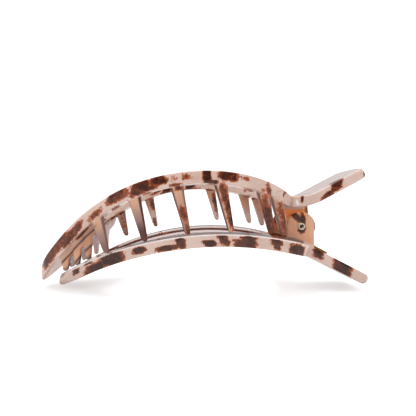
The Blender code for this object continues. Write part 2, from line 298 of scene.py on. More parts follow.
def plate(profile, outline, opening, places, end_radii):
    """A closed bmesh of a curved plate with one opening, rounded edges and an upright end at the tip."""
    bm = bmesh.new()
    tip_fade, end_fade = END_RADII_FADES
    rows = []
    for x in places:
        z, heading = profile(x)
        from_tip, from_end = x - places[0], places[-1] - x
        tilt = heading * (1.0 - smooth_step(1.0 - from_tip / TIP_CUT))
        through = Vector((-math.sin(tilt), 0.0, math.cos(tilt))) / math.cos(heading - tilt)
        full = half_thickness(x)
        half_width = max(outline(x), NARROWEST)
        half_opening = opening_outline(x, opening)
        slope = (outline(x + 0.01) - outline(x - 0.01)) / 0.02
        skew = math.hypot(1.0, slope)
        radius = RIM_RADIUS
        radius += (end_radii[0] - RIM_RADIUS) * smooth_step(tip_fade[0] - from_tip / tip_fade[1])
        radius += (end_radii[1] - RIM_RADIUS) * smooth_step(end_fade[0] - from_end / end_fade[1])
        room = half_width - half_opening
        offsets = [room, room * 0.75]
        for share in RIM_COLUMNS:
            offsets.append(min(radius * share * skew, room * 0.7 * share))
        sides = []
        for side in (-1, 1):
            row = []
            for step, offset in enumerate(offsets):
                if step == 0 and side == 1 and half_opening == 0.0:
                    row.append(sides[0][0])
                    continue
                half = rounded_off(full, min(offset / skew, from_tip, from_end), radius)
                middle = Vector((x, side * (half_width - offset), z))
                pair = [bm.verts.new(middle + through * half), bm.verts.new(middle - through * half)]
                row.append(pair)
            sides.append(row)
        rows.append((half_opening, sides))
    across = len(RIM_COLUMNS) + 1
    for (opening_a, row_a), (opening_b, row_b) in zip(rows, rows[1:]):
        for a, b in zip(row_a, row_b):
            for step in range(across):
                corners = (a[step], a[step + 1], b[step + 1], b[step])
                for level in (0, 1):
                    bm.faces.new([corner[level] for corner in corners])
            bm.faces.new((a[-1][0], a[-1][1], b[-1][1], b[-1][0]))
            if opening_a or opening_b:
                bm.faces.new((a[0][0], a[0][1], b[0][1], b[0][0]))
    for _, row in (rows[0], rows[-1]):
        for side in row:
            for step in range(across):
                bm.faces.new((side[step][0], side[step + 1][0], side[step + 1][1], side[step][1]))
    bmesh.ops.recalc_face_normals(bm, faces=bm.faces)
    return bm


def skin_rings(bm, rings, closed_loop=False, caps=True):
    """Faces between neighbouring rings of corners, and over the first and last ring."""
    faces = []
    if caps:
        faces += [bm.faces.new(rings[0]), bm.faces.new(rings[-1][::-1])]
    following = rings[1:] + rings[:1] if closed_loop else rings[1:]
    for ring, after in zip(rings, following):
        for a, b, c, d in zip(ring, ring[1:] + ring[:1], after[1:] + after[:1], after):
            faces.append(bm.faces.new((a, b, c, d)))
    bmesh.ops.recalc_face_normals(bm, faces=faces)


def prism(bm, outline, y_from, y_to):
    """Adds a closed prism whose side view is the outline of (x, z) points."""
    front = [bm.verts.new((x, y_from, z)) for x, z in outline]
    back = [bm.verts.new((x, y_to, z)) for x, z in outline]
    skin_rings(bm, [front, back])


def arc(radius, from_degrees, to_degrees, steps):
    """Points of an arc about the hinge axis, as (x, z)."""
    for step in range(steps + 1):
        angle = math.radians(from_degrees + (to_degrees - from_degrees) * step / steps)
        yield radius * math.cos(angle), radius * math.sin(angle)


def squarish(angle, power=3.6):
    """A unit point of a rounded square at this angle."""
    c, s = math.cos(angle), math.sin(angle)
    return math.copysign(abs(c) ** (2 / power), c), math.copysign(abs(s) ** (2 / power), s)


def tooth_axis(tip_x, side, gap):
    """The root and the tip of a rim tooth's centre line."""
    lower_z, lower_heading = LOWER_PROFILE(tip_x)
    tip_z = lower_z + PLATE / 2 / math.cos(lower_heading) + gap
    lean = math.tan(math.radians(TOOTH_LEAN))
    root_x = tip_x - lean * (UPPER_PROFILE(tip_x)[0] - tip_z)
    y = side * (upper_outline(root_x) - TOOTH_INSET)
    return Vector((root_x, y, UPPER_PROFILE(root_x)[0])), Vector((tip_x, y, tip_z))


def rim_tooth(bm, tip_x, side, gap):
    """Adds one tapered, leaning tooth whose tip stops just over the lower frame."""
    root, tip = tooth_axis(tip_x, side, gap)
    rings = []
    for share, swell in TOOTH_SECTIONS:
        centre = root.lerp(tip, share)
        half_x = swell * (TOOTH_ROOT[0] + (TOOTH_TIP[0] - TOOTH_ROOT[0]) * share) / 2
        half_y = swell * (TOOTH_ROOT[1] + (TOOTH_TIP[1] - TOOTH_ROOT[1]) * share) / 2
        ring = []
        for corner in range(TOOTH_SIDES):
            along, across = squarish(math.tau * (corner + 0.5) / TOOTH_SIDES)
            ring.append(bm.verts.new(centre + Vector((half_x * along, half_y * across, 0.0))))
        rings.append(ring)
    skin_rings(bm, rings)


def tip_tooth(bm, tip_x, y, fin_depth, fin_length):
    """Adds one short claw with a fin that runs up the underside of the tip plate behind it."""
    lower_z, lower_heading = LOWER_PROFILE(tip_x)
    tip_z = lower_z + PLATE / 2 / math.cos(lower_heading) + CLAW_GAP
    under = PLATE / 2 / math.cos(math.radians(UPPER_START[2]))

    def below(x_offset, depth):
        return tip_x + x_offset, UPPER_PROFILE(tip_x + x_offset)[0] - depth

    outline = [(tip_x + x, tip_z + z) for x, z in CLAW_POINT]
    outline += [
        below(FIN_FROM, under + fin_depth),
        below(fin_length, under + fin_depth * 0.8),
        below(fin_length + FIN_RUNOUT, 2 * INSIDE_PLATE),
        below((fin_length + FIN_RUNOUT) / 2, INSIDE_PLATE),
        below(CLAW_FRONT[0] + 0.4, INSIDE_PLATE),
        below(*CLAW_FRONT),
    ]
    prism(bm, outline, y - FIN_THICKNESS / 2, y + FIN_THICKNESS / 2)


def upper_shapes():
    """The upper plate, its teeth and claws, and its hinge lugs, overlapping in one bmesh."""
    places = stations(UPPER_ENDS[0], UPPER_OPENING, UPPER_BACK, UPPER_ENDS[1])
    bm = plate(UPPER_PROFILE, upper_outline, UPPER_OPENING, places, UPPER_END_RADII)
    for side, gap in TOOTH_ROWS:
        for tip_x in RIM_TEETH:
            rim_tooth(bm, tip_x, side, gap)
    for tip_x, y, fin_depth, fin_length in TIP_TEETH:
        for side in (-1, 1) if y else (0,):
            tip_tooth(bm, tip_x, side * y, fin_depth, fin_length)
    top = [(x, UPPER_PROFILE(x)[0]) for x in (3.2, 1.6, 0.0, -1.4, -2.8, -4.2, -5.6)]
    lug = list(arc(LUG_RADIUS, 165, 370, 40)) + top
    for side in (-1, 1):
        prism(bm, lug, side * LUG_FACES[0], side * LUG_FACES[1])
    return bm


def lower_shapes():
    """The lower plate and its hinge ears, overlapping in one bmesh."""
    places = stations(LOWER_ENDS[0], LOWER_OPENING, LOWER_BACK, LOWER_ENDS[1])
    bm = plate(LOWER_PROFILE, lower_outline, LOWER_OPENING, places, LOWER_END_RADII)
    foot = [(x, LOWER_PROFILE(x)[0]) for x in (-7.2, -5.0, -3.0, -1.0, 1.0, 2.8, 4.7)]
    ear = list(arc(EAR_RADIUS, -25, 200, 48)) + [(-5.4, -4.2)] + foot
    for side in (-1, 1):
        prism(bm, ear, side * EAR_FACES[0], side * EAR_FACES[1])
    return bm


def bake_modifiers(obj):
    graph = bpy.context.evaluated_depsgraph_get()
    mesh = bpy.data.meshes.new_from_object(obj.evaluated_get(graph))
    obj.modifiers.clear()
    old = obj.data
    obj.data = mesh
    bpy.data.meshes.remove(old)


def scene_object(name, bm):
    mesh = bpy.data.meshes.new(name)
    bm.to_mesh(mesh)
    bm.free()
    made = bpy.data.objects.new(name, mesh)
    bpy.context.scene.collection.objects.link(made)
    return made


def true_up(mesh, profile, outline, start, end):
    """Puts the plate's upper and under faces, rippled by the remesh, back on their true surfaces."""
    points = mesh_points(mesh)
    x, height, depth = band_coordinates(points, profile, outline, start, end)
    xs, _, headings, _ = sampled(profile, outline, start, end)
    half = np.interp(x, xs, [half_thickness(place) for place in xs])
    height *= PLATE / 2 / half
    off = np.sign(height) - height
    weight = smooth(0.13, 0.06, np.abs(off)) * smooth(0.5, 0.9, depth)
    weight *= smooth(start + TIP_CUT, start + TIP_CUT + 2.0, x) * smooth(end - 2.0, end - 3.5, x)
    points[:, 2] += weight * off * half / np.cos(np.interp(x, xs, headings))
    mesh.vertices.foreach_set("co", points.astype(np.float32).ravel())
    mesh.update()


def moulded(name, bm, profile, outline, start, end):
    """One continuous moulded skin round overlapping shapes, with softened edges and the pin's hole."""
    made = scene_object(name, bm)
    fuse = made.modifiers.new("fuse", "REMESH")
    fuse.mode = "VOXEL"
    fuse.voxel_size = VOXEL * 1.0
    soften = made.modifiers.new("soften", "SMOOTH")
    soften.factor = 0.5
    soften.iterations = SMOOTHING
    bake_modifiers(made)
    true_up(made.data, profile, outline, start, end)
    drill_bm = bmesh.new()
    last = HOLE_SIDES - 1
    prism(drill_bm, list(arc(HOLE_RADIUS, 0, 360 * last / HOLE_SIDES, last)), -HOLE_REACH, HOLE_REACH)
    drill = scene_object("drill", drill_bm)
    cut = made.modifiers.new("pin_hole", "BOOLEAN")
    cut.operation = "DIFFERENCE"
    cut.solver = "MANIFOLD"
    cut.object = drill
    bake_modifiers(made)
    bpy.data.objects.remove(drill)
    made.data.materials.clear()
    made.data.shade_smooth()
    made.data.set_sharp_from_angle(angle=math.radians(50))
    return made


def settle(made):
    """Moves a finished mesh from millimetres about the hinge to its place in the frame."""
    made.data.transform(Matrix.Translation(HINGE) @ Matrix.Scale(MM, 4))
    made.data.update()


# -------- tortoise pattern

# Blotches on the -Y side: x, height in the plate (-1 under face to 1 upper face) and depth in from the
# rim, then half lengths along the three, lean of x with height, and strength (1 dark, less for faint and
# speckled)
UPPER_BLOTCHES = (
    (-88.5, 0.85, 1.0, 8.0, 0.45, 6.0, 0.0, 1.0),
    (-88.0, 0.15, 2.0, 4.4, 0.75, 7.0, 0.6, 0.75),
    (-78.6, -0.2, 2.0, 4.0, 0.75, 7.0, 0.6, 1.0),
    (-82.8, 0.3, 2.0, 2.6, 0.8, 6.0, 0.6, 0.9),
    (-70.0, -0.4, 1.0, 2.6, 0.6, 3.0, 0.4, 0.45),
    (-63.2, 0.35, 1.2, 3.3, 0.9, 4.5, 0.2, 1.0),
    (-60.6, -0.1, 1.0, 2.0, 0.6, 3.0, 0.6, 0.5),
    (-55.4, 0.1, 1.5, 3.4, 1.15, 5.0, 0.3, 1.0),
    (-49.8, 0.3, 1.5, 3.0, 0.8, 4.0, -0.6, 0.9),
    (-52.6, -0.5, 1.0, 3.0, 0.4, 3.0, 0.0, 0.8),
    (-44.6, 0.0, 0.6, 1.2, 0.5, 1.2, 0.0, 0.3),
    (-40.6, 0.15, 0.6, 2.4, 0.5, 1.4, -1.2, 0.35),
    (-44.0, -0.85, 0.6, 2.6, 0.25, 2.0, 0.0, 0.6),
    (-34.4, 0.2, 1.5, 1.5, 1.3, 4.0, -0.2, 1.0),
    (-33.0, -0.8, 1.2, 2.5, 0.32, 3.0, 0.0, 1.0),
    (-27.6, 0.35, 1.5, 3.2, 0.85, 4.5, 0.2, 1.0),
    (-22.3, 0.35, 0.8, 1.7, 0.4, 1.6, -0.8, 0.5),
    (-14.0, -0.3, 1.0, 1.2, 0.9, 2.2, -0.2, 1.0),
    (-14.2, 0.5, 1.0, 0.5, 0.7, 1.6, 0.0, 0.8),
    (-7.4, 0.6, 2.4, 0.7, 1.2, 3.6, 0.9, 0.7),
    (-5.4, 1.0, 5.0, 0.5, 0.6, 3.0, 0.4, 0.6),
    (9.6, -0.45, 1.2, 2.7, 0.6, 3.0, 0.8, 0.9),
    (12.4, 0.25, 1.2, 2.3, 1.0, 2.6, 0.5, 1.0),
    (22.6, -0.2, 0.4, 0.6, 0.6, 1.2, 0.0, 1.0),
    (0.6, 0.3, 0.3, 0.6, 0.7, 1.0, 0.3, 0.8),
)
# The same on the inner faces of the +Y side
UPPER_FAR_BLOTCHES = (
    (-74.7, -0.6, 8.0, 1.6, 0.8, 3.0, 0.4, 0.7),
    (-70.6, 0.2, 8.0, 1.3, 0.7, 3.0, 0.4, 1.0),
    (-65.6, -0.3, 7.5, 1.2, 0.5, 1.6, 0.3, 0.9),
    (-48.6, 0.0, 8.0, 2.2, 0.9, 3.0, 0.3, 1.0),
    (-38.9, 0.0, 8.0, 2.2, 1.1, 3.0, 0.3, 1.0),
    (-15.2, 0.0, 8.0, 1.7, 0.7, 3.0, 0.6, 1.0),
)
LOWER_BLOTCHES = (
    (-78.6, 0.3, 1.0, 1.7, 0.5, 3.0, 0.2, 0.9),
    (-71.2, -0.4, 2.0, 4.0, 0.85, 5.0, 0.2, 1.0),
    (-65.0, 0.2, 2.0, 4.4, 1.3, 6.0, -0.6, 1.0),
    (-73.6, 0.8, 1.0, 1.7, 0.3, 3.0, 0.0, 0.9),
    (-55.8, 0.1, 1.0, 2.3, 0.6, 3.0, -0.9, 1.0),
    (-47.0, -0.4, 1.5, 3.8, 0.5, 4.0, -0.6, 1.0),
    (-42.6, 0.25, 1.5, 1.8, 1.1, 4.0, -0.2, 0.9),
    (-33.5, -0.35, 1.2, 2.3, 0.55, 3.0, -1.2, 1.0),
    (-29.2, 0.2, 1.2, 1.9, 1.15, 4.0, -0.8, 0.9),
    (-22.5, -0.35, 2.0, 4.2, 0.8, 5.0, 0.0, 1.0),
    (-21.6, 0.5, 2.0, 2.7, 0.8, 5.0, 0.0, 1.0),
    (-12.6, 0.45, 1.5, 2.1, 0.6, 3.5, 0.0, 1.0),
    (-12.4, -0.3, 1.5, 1.2, 0.6, 3.0, 0.0, 0.8),
    (-6.0, -0.2, 1.5, 2.8, 1.0, 4.0, 0.4, 1.0),
    (5.8, 0.25, 1.5, 2.1, 0.8, 4.0, 0.3, 0.8),
    (14.4, 0.0, 3.0, 3.5, 1.5, 9.0, 0.3, 1.0),
    (24.6, 0.4, 0.4, 0.6, 0.6, 1.6, 0.0, 1.0),
    (-59.0, 1.0, 4.2, 2.4, 0.4, 2.2, 0.0, 1.0),
    (-48.0, 1.0, 4.6, 2.8, 0.4, 3.0, 0.0, 1.0),
    (-37.5, 1.0, 5.5, 3.0, 0.4, 2.4, 0.0, 0.7),
    (-27.5, 1.0, 5.0, 2.0, 0.4, 3.0, 0.0, 1.0),
    (-19.0, 1.0, 4.5, 1.6, 0.4, 3.0, 0.0, 0.8),
)


def sampled(profile, outline, start, end):
    """Many x along a plate, with its middle's z and heading and its half-width at each."""
    xs = np.linspace(start, end, 900)
    zs = np.array([profile(x)[0] for x in xs])
    headings = np.array([profile(x)[1] for x in xs])
    widths = np.array([outline(x) for x in xs])
    return xs, zs, headings, widths


def band_coordinates(points, profile, outline, start, end):
    """x, height in the plate from -1 to 1, and depth in from the rim, of points about the hinge."""
    xs, zs, headings, widths = sampled(profile, outline, start, end)
    x = points[:, 0]
    height = (points[:, 2] - np.interp(x, xs, zs)) * np.cos(np.interp(x, xs, headings)) / (PLATE / 2)
    depth = np.interp(x, xs, widths) - np.abs(points[:, 1])
    return x, height, depth


def scattered(rng, start, end, spacing):
    """Blotches like the listed ones, for the sides where none is listed."""
    found = []
    x = start
    while x < end:
        found.append((
            x,
            rng.uniform(-0.5, 0.5),
            rng.uniform(0.5, 6.0),
            rng.uniform(1.6, 4.4),
            rng.uniform(0.6, 1.2),
            rng.uniform(2.5, 5.5),
            rng.uniform(-1.2, 1.2),
            rng.choice((1.0, 1.0, 0.8, 0.5)),
        ))
        x += spacing * rng.uniform(0.6, 1.4)
    return found


def scattered_on_faces(rng, start, end, spacing, depths):
    """Blotches on the plate's upper and under faces, away from the rim."""
    found = []
    for face in (-1.0, 1.0):
        x = start
        while x < end:
            found.append((
                x,
                face,
                rng.uniform(*depths),
                rng.uniform(1.8, 4.4),
                0.4,
                rng.uniform(1.6, 3.4),
                rng.uniform(-0.5, 0.5),
                rng.choice((1.0, 1.0, 0.8, 0.5)),
            ))
            x += spacing * rng.uniform(0.6, 1.4)
    return found


def face_blotches(rng):
    """The blotches on one side's faces: on the tip plate, on the frame and on the handle."""
    return (
        scattered_on_faces(rng, -90.0, -70.0, 2.6, (5.0, 22.0))
        + scattered_on_faces(rng, -70.0, -8.0, 5.5, (4.5, 7.5))
        + scattered_on_faces(rng, -12.0, -3.0, 3.0, (5.0, 20.0))
        + scattered_on_faces(rng, 6.0, 22.0, 5.0, (5.0, 9.0))
    )


CLEAR = -0.6  # the blotch field where there is surely none


def blotch_field(coordinates, blotches):
    """Above 0 inside a blotch, up to 1 at its middle; below 0 outside."""
    x, height, depth = coordinates
    best = np.full(len(x), -2.0)
    for bx, bh, bd, half_x, half_h, half_d, lean, strength in blotches:
        along = (x - bx - lean * (height - bh)) / half_x
        up = (height - bh) / half_h
        deep = (depth - bd) / half_d
        size = (np.abs(along) ** 3 + np.abs(up) ** 3 + np.abs(deep) ** 3) ** (1 / 3)
        best = np.maximum(best, strength * (1.0 - size) - 0.15 * (1.0 - strength))
    return best


def round_field(points, blotches):
    """The same for blotches given as a centre, half sizes and a lean of x with z, in millimetres."""
    best = np.full(len(points), -2.0)
    for (cx, cy, cz), (rx, ry, rz), lean in blotches:
        across = (points[:, 0] - cx - lean * (points[:, 2] - cz)) / rx
        deep = (points[:, 1] - cy) / ry
        up = (points[:, 2] - cz) / rz
        best = np.maximum(best, 1.0 - np.sqrt(across ** 2 + deep ** 2 + up ** 2))
    return best


def smooth(low, high, values):
    """A soft step from 0 at low to 1 at high; low may be the larger."""
    share = np.clip((values - low) / (high - low), 0.0, 1.0)
    return share * share * (3.0 - 2.0 * share)


def combined_field(points, near, far, bare, marks, mark_strength):
    """The blotches of the two sides, none where the plate ends, and the marks on what stands off it."""
    side = smooth(-3.0, 1.0, points[:, 1])
    field = near * (1.0 - side) + far * side
    field = field * (1.0 - bare) + CLEAR * bare
    return np.maximum(field, mark_strength * round_field(points, marks) + 0.12)


def add_attributes(mesh, **fields):
    """A value of each kind for each corner, for the material to read."""
    for name, values in fields.items():
        attribute = mesh.attributes.new(name, "FLOAT", "POINT")
        attribute.data.foreach_set("value", values.astype(np.float32))


def mesh_points(mesh):
    points = np.zeros(len(mesh.vertices) * 3, np.float32)
    mesh.vertices.foreach_get("co", points)
    return points.reshape(-1, 3).astype(float)


# Blotches on the teeth, the lugs and the ears: centre, half sizes, lean of x with z
UPPER_MARKS = (
    ((-41.9, -22.2, 5.0), (1.0, 4.0, 2.4), -0.23),
    ((-40.4, -22.2, -0.6), (0.7, 4.0, 2.6), -0.2),
    ((-43.3, -22.2, 13.0), (0.9, 4.0, 0.8), 0.0),
    ((-29.0, -22.0, 11.0), (1.1, 4.0, 3.2), -0.2),
    ((-27.2, -22.0, 5.0), (1.0, 4.0, 5.4), -0.23),
    ((-14.4, -18.0, 4.4), (1.5, 4.0, 6.8), -0.23),
    ((-12.4, -18.0, -1.0), (1.0, 4.0, 4.0), -0.2),
    ((-8.0, -14.0, 1.8), (1.5, 4.0, 6.4), -0.25),
    ((3.4, -6.0, 5.3), (0.9, 3.0, 1.6), 0.0),
    ((-86.0, 0.0, -17.0), (0.9, 2.0, 3.0), 0.3),
    ((-68.6, 22.0, 1.0), (2.0, 3.0, 6.0), -0.23),
    ((-55.6, 22.0, 7.9), (1.0, 3.0, 2.8), -0.23),
    ((-54.4, 22.0, -0.4), (0.7, 3.0, 1.8), -0.23),
    ((-27.6, 22.0, 8.8), (0.9, 3.0, 4.6), -0.23),
)
LOWER_MARKS = (
    ((-1.7, -10.0, 3.3), (1.3, 2.0, 1.7), -0.7),
    ((0.6, -10.0, 2.2), (0.9, 2.0, 2.4), -0.1),
    ((0.2, -10.0, -1.1), (1.2, 2.0, 1.4), 0.0),
    ((5.1, -9.6, 0.6), (0.5, 3.0, 2.2), 0.0),
    ((-3.0, 9.0, 1.5), (1.8, 3.0, 1.6), 0.4),
)
# A white glint on the neck's -Y edge, given the same way
NECK_GLINT = (((-1.15, -9.5, 8.4), (0.5, 1.5, 1.2), -0.3),)
# Painted shade on each rim tooth, from the tip end: how dark at its root, at its tip, and along its -X
# and +X edges
NEAR_TEETH_SHADE = (
    (0.1, 0.75, 0.3, 0.75),
    (0.1, 1.0, 0.3, 1.0),
    (0.1, 0.55, 0.9, 0.7),
    (0.1, 0.1, 0.9, 0.6),
    (0.2, 0.5, 0.8, 0.7),
    (0.2, 0.5, 0.6, 0.7),
)
FAR_TEETH_SHADE = (
    (0.2, 0.4, 0.5, 0.6),
    (0.0, 0.0, 0.1, 0.4),
    (0.0, 0.0, 0.1, 0.6),
    (0.0, 0.0, 0.1, 0.3),
    (0.0, 0.0, 0.1, 0.2),
    (0.0, 0.0, 0.1, 0.2),
)


def tooth_shade(points, side, gap, dusks):
    """Painted shade on one row of rim teeth, and how far along its tooth each point is (0 off them)."""
    dusk = np.zeros(len(points))
    along = np.zeros(len(points))
    x, y, z = points.T
    for tip_x, (at_root, at_tip, left, right) in zip(RIM_TEETH, dusks):
        root, tip = tooth_axis(tip_x, side, gap)
        share = np.clip((root.z - z) / (root.z - tip.z), 0.0, 1.0)
        half_x = (TOOTH_ROOT[0] + (TOOTH_TIP[0] - TOOTH_ROOT[0]) * share) / 2
        across = (x - root.x - (tip.x - root.x) * share) / half_x
        inside = (np.abs(across) < 1.25) & (np.abs(y - root.y) < TOOTH_ROOT[1])
        tint = at_root + (at_tip - at_root) * smooth(0.15, 0.9, share)
        tint = np.maximum(tint, left * smooth(-0.5, -0.78, across))
        tint = np.maximum(tint, right * smooth(0.5, 0.78, across))
        dusk = np.where(inside, tint, dusk)
        along = np.where(inside, share, along)
    return dusk, along


# White glints on the rounded back corner of the lower frame, and on the upper frame's +Y inner wall
CORNER_GLINTS = (
    ((-2.2, -23.6, -6.2), (0.4, 2.0, 2.4), -0.4),
    ((-3.4, -23.8, -5.1), (1.6, 1.5, 0.35), 0.0),
)
FAR_GLINTS = (
    ((-19.5, 16.0, 14.6), (3.2, 2.5, 0.5), -1.0),
    ((-14.6, 16.0, 12.9), (1.2, 2.5, 1.2), 0.5),
)


def edge_glow(band):
    """Where a painted white highlight line runs: 1 along the top edge of a plate's outer rim."""
    return smooth(0.76, 0.88, band[1]) * smooth(1.1, 0.44, band[2])


def past_opening(points, opening):
    """How far along Y each point lies outside a frame's opening."""
    places = np.linspace(*opening, 400)
    halves = [opening_outline(place, opening) for place in places]
    return np.abs(points[:, 1]) - np.interp(points[:, 0], places, halves, -1.0, -1.0)


def height_over_lower(x, z):
    """Millimetres over the lower plate's top surface."""
    xs, zs, _, _ = sampled(LOWER_PROFILE, lower_outline, LOWER_ENDS[0], 0.0)
    return z - np.interp(x, xs, zs) - PLATE / 2


def paint_upper(made, rng):
    """Writes where the upper jaw is blotched, warm-tinted or glowing, painted with shade, and pale or
    painted with highlights.
    """
    points = mesh_points(made.data)
    x, y, z = points.T
    band = band_coordinates(points, *UPPER_PLATE)
    near = blotch_field(band, UPPER_BLOTCHES)
    far = blotch_field(band, UPPER_FAR_BLOTCHES + tuple(scattered(rng, -90.0, 22.0, 9.0)))

    # What hangs below the plate, the claws among it, and the smooth top face of the handle, which gets
    # no blotches and a painted grey-lilac reflection
    hanging = smooth(-1.0, -1.7, band[1])
    claws = hanging * smooth(-69.0, -71.0, x)
    handle_top = smooth(0.86, 0.94, band[1] * PLATE / HANDLE_PLATE) * smooth(0.0, 3.0, x)

    near = np.maximum(near, blotch_field(band, face_blotches(rng)) - 2.0 * handle_top)
    far = np.maximum(far, blotch_field(band, face_blotches(rng)) - 2.0 * handle_top)
    field = combined_field(points, near, far, hanging, UPPER_MARKS, 0.5)

    # The lugs are amber, with a painted glow as if lit through the thick plastic
    lug = smooth(-6.6, -5.6, x) * smooth(7.6, 7.2, np.abs(y)) * hanging
    near_dusk, _ = tooth_shade(points, -1, TOOTH_ROWS[0][1], NEAR_TEETH_SHADE)
    far_dusk, far_along = tooth_shade(points, 1, TOOTH_ROWS[1][1], FAR_TEETH_SHADE)
    # Painted shade on the rim teeth, none on the lugs
    dusk = np.where(y < 0.0, near_dusk, far_dusk) * smooth(-1.0, -1.4, band[1]) * (1.0 - lug)
    # Dark stripes along the claws' fins, and painted shade on the claw tips where they come close to the
    # lower frame
    stripes = np.maximum(1.0 - np.abs(band[1] + 1.9) / 0.3, 1.0 - np.abs(band[1] + 3.7) / 0.36)
    claw_tip_shade = smooth(3.0, 0.8, height_over_lower(x, z))
    claw_dusk = np.maximum(1.2 * np.clip(stripes, 0.0, 0.75), 0.7 * claw_tip_shade)
    # The middle and far claws get none of that, and are painted lighter instead, as if lit
    pale_claws = claws * smooth(-7.0, -5.0, y)
    dusk = np.maximum(dusk, (claws - pale_claws) * claw_dusk)
    # Painted shade, a little, in the painted reflection on the handle's top
    dusk = np.maximum(dusk, 0.2 * handle_top)
    # The far teeth turn paler and less warm towards their tips
    paler_far_teeth = smooth(0.25, 0.85, far_along) * (y > 0.0) * (x > RIM_TEETH[0] + 2.0)
    # Warm peach below the plate stands in for light through the plastic in shade; amber at the lugs; the
    # claws warm, less so where painted lighter
    warm = np.maximum(0.5 * smooth(-0.8, -1.6, band[1]) * (1.0 - 0.8 * paler_far_teeth), lug)
    warm = np.maximum(warm, 0.68 * claws) * (1.0 - 0.6 * pale_claws)

    # Pale or painted highlight: the painted reflection on the handle top, the paler far teeth, the
    # lighter claws, a painted highlight line along the tip's top edge, and painted glints
    pale = np.maximum(0.5 * handle_top, 0.35 * paler_far_teeth)
    pale = np.maximum(pale, 0.85 * pale_claws)
    pale = np.maximum(pale, 0.9 * edge_glow(band) * smooth(-58.0, -66.0, x))
    pale = np.maximum(pale, smooth(0.0, 0.3, round_field(points, NECK_GLINT + FAR_GLINTS)))
    add_attributes(made.data, blotch=field, warm=warm, dusk=dusk, pale=pale)


def paint_lower(made, rng):
    """Writes where the lower jaw is blotched, warm-tinted or with painted shading, painted with shade
    and reflection lines, and pale or painted with highlights.
    """
    points = mesh_points(made.data)
    x, y, z = points.T
    band = band_coordinates(points, *LOWER_PLATE)
    near = blotch_field(band, LOWER_BLOTCHES)
    far = blotch_field(band, scattered(rng, -84.0, 22.0, 9.0))
    near = np.maximum(near, blotch_field(band, face_blotches(rng)))
    far = np.maximum(far, blotch_field(band, face_blotches(rng)))

    # The ears, the plate's top face in front of them with painted shade, and the +Y inner wall with
    # painted white and dark reflection lines along it
    standing = smooth(1.0, 1.6, band[1]) * smooth(-9.0, -7.0, x)
    lying = 1.0 - standing
    field = combined_field(points, near, far, standing, LOWER_MARKS, 0.6)
    # The ears' own peach, with painted shading that makes them less warm towards the back and the top
    ear_shading = smooth(2.0, 5.2, x) * smooth(-8.0, 3.0, z)
    # Painted shade on the plate's top face in front of the ears, darker on the -Y side, and a little
    # warm
    top = smooth(0.8, 1.0, band[1]) * smooth(0.5, 1.4, band[2]) * lying * (x < LOWER_BACK)
    warm = np.maximum(standing * (0.7 - 0.46 * ear_shading), 0.5 * top)
    # Painted reflection lines on the +Y inner wall: painted shade with a darker line, and white lines
    wall = (y > 0.0) * smooth(0.6, 0.3, past_opening(points, LOWER_OPENING)) * lying
    reflection_dark_line = smooth(0.66, 0.56, band[1]) * smooth(0.16, 0.26, band[1])
    dusk = np.maximum(np.where(y < 0.0, 0.7, 0.3) * top, wall * (0.35 + 0.65 * reflection_dark_line))
    reflection_white_lines = smooth(0.66, 0.8, band[1])
    reflection_white_lines += smooth(0.2, 0.1, band[1]) * smooth(-0.3, -0.2, band[1])
    pale = wall * np.clip(reflection_white_lines, 0.0, 1.0)
    # A painted highlight line along the near top edge, and painted glints on the back corner
    pale = np.maximum(pale, 0.9 * edge_glow(band) * smooth(-3.0, -8.0, x) * (y < 0.0))
    pale = np.maximum(pale, smooth(0.0, 0.3, round_field(points, CORNER_GLINTS)))
    # No blotches, warmth or painted shade under the painted highlights
    field -= 0.5 * smooth(0.3, 0.8, pale)
    warm *= 1.0 - pale
    dusk *= 1.0 - pale
    add_attributes(made.data, blotch=field, warm=warm, dusk=dusk, pale=pale)


# -------- materials


def linear(red, green, blue):
    """A linear colour from 8-bit display values."""
    def one(value):
        value /= 255
        return value / 12.92 if value <= 0.04045 else ((value + 0.055) / 1.055) ** 2.4
    return one(red), one(green), one(blue), 1.0


